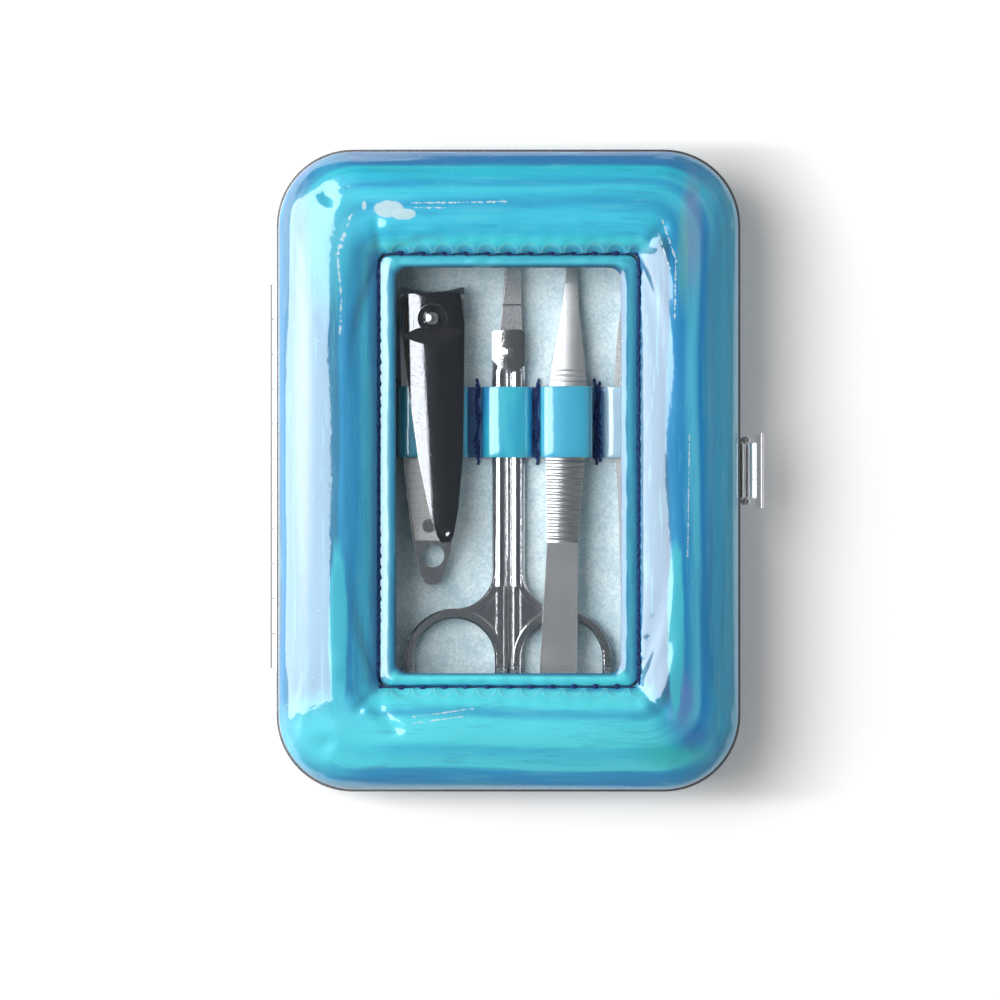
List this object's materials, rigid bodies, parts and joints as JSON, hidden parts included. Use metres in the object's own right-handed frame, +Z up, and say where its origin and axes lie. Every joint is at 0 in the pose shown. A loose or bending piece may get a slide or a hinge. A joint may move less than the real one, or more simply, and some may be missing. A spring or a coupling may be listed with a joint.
{
  "type": "manicure set case",
  "caption": "Hinged padded case with a window lid and spring clasp, holding a clipper, scissors, tweezers and a nail file under a band of loops.",
  "frame": {"origin": "centre of the flat face on the back cushion that the case lies on", "axes": "+X towards the clasp, -X to the hinge, +Y towards the tips of the tools, +Z up through the window"},
  "size_m": [0.0874, 0.1134, 0.0222],
  "materials": {
    "frame_metal": "polished nickel plated sheet",
    "skin": "holographic patent skin, mirror gloss, cyan to deep blue",
    "hem": "turned edge of the same patent skin",
    "felt": "short brushed felt, pale grey blue",
    "card": "pressed board",
    "wadding": "soft foam",
    "film": "clear film",
    "tool_steel": "polished tool steel",
    "brushed": "brushed spring steel",
    "file_grit": "cut steel with fine ridges",
    "pin_metal": "turned pins and rivets"
  },
  "bodies": {
    "base": {"lower_frame": "frame_metal", "back_cover": "skin", "back_padding": "wadding", "tray_board": "card", "tray_lining": "felt", "tool_band": "skin", "hinge_pin": "pin_metal", "clasp_bracket": "frame_metal", "clasp_rivets": "pin_metal", "clasp_pin": "pin_metal", "clasp_spring": "pin_metal"},
    "lid": {"upper_frame": "frame_metal", "lid_cover": "skin", "lid_foam": "wadding", "lid_board": "card", "window_film": "film", "window_hem": "hem", "lid_lining": "felt", "clasp_catch": "frame_metal"},
    "clasp": {"clasp_lever": "frame_metal"},
    "clipper": {"clipper_lower_leaf": "tool_steel", "clipper_upper_leaf": "tool_steel", "clipper_rivet": "pin_metal", "clipper_pin": "pin_metal"},
    "clipper_handle": {"clipper_lever": "tool_steel"},
    "clipper_swing_file": {"clipper_file": "file_grit"},
    "scissors_pivot": {"scissors_screw": "pin_metal"},
    "scissors_left_half": {"scissors_left": "tool_steel"},
    "scissors_right_half": {"scissors_right": "tool_steel"},
    "tweezers": {"tweezer_upper_arm": "brushed", "tweezer_lower_arm": "brushed"},
    "nail_file_tool": {"nail_file": "brushed"}
  },
  "joints": [
    {"name": "lid_hinge", "type": "hinge", "parent": "base", "child": "lid", "pos_m": [-0.041, -0.001, 0.012], "axis": [0, -1, 0], "range_deg": [0, 170]},
    {"name": "clasp_release", "type": "hinge", "parent": "base", "child": "clasp", "pos_m": [0.0423, 0, 0.0086], "axis": [0, 1, 0], "range_deg": [0, 22], "stiffness_Nm_per_rad": 0.004, "springref_deg": -5.73},
    {"name": "clipper_slide", "type": "slide", "parent": "base", "child": "clipper", "axis": [0, 1, 0], "range_m": [0, 0.018]},
    {"name": "clipper_lever_swing", "type": "hinge", "parent": "clipper", "child": "clipper_handle", "pos_m": [-0.01355, 0.027, 0.0126], "axis": [0, 0, -1], "range_deg": [0, 30]},
    {"name": "clipper_file_swing", "type": "hinge", "parent": "clipper", "child": "clipper_swing_file", "pos_m": [-0.01415, -0.0097, 0.0096], "axis": [0, -0.0506, 0.9987], "range_deg": [-1.2, 1.2]},
    {"name": "scissors_slide", "type": "slide", "parent": "base", "child": "scissors_pivot", "axis": [0, 1, 0], "range_m": [-0.003, 0.003]},
    {"name": "scissors_left_pivot", "type": "hinge", "parent": "scissors_pivot", "child": "scissors_left_half", "pos_m": [0, 0.0212, 0.0076], "axis": [0, 0, -1], "range_deg": [0, 2]},
    {"name": "scissors_right_pivot", "type": "hinge", "parent": "scissors_pivot", "child": "scissors_right_half", "pos_m": [0, 0.0212, 0.0076], "axis": [0, 0, 1], "range_deg": [0, 2]},
    {"name": "tweezers_slide", "type": "slide", "parent": "base", "child": "tweezers", "axis": [0.0349, 0.9984, -0.0454], "range_m": [-0.002, 0.003]},
    {"name": "nail_file_slide", "type": "slide", "parent": "base", "child": "nail_file_tool", "axis": [0, 1, 0], "range_m": [-0.005, 0.005]}
  ],
  "couplings": [
    {"joint": "scissors_right_pivot", "follows": "scissors_left_pivot", "ratio": 1}
  ]
}
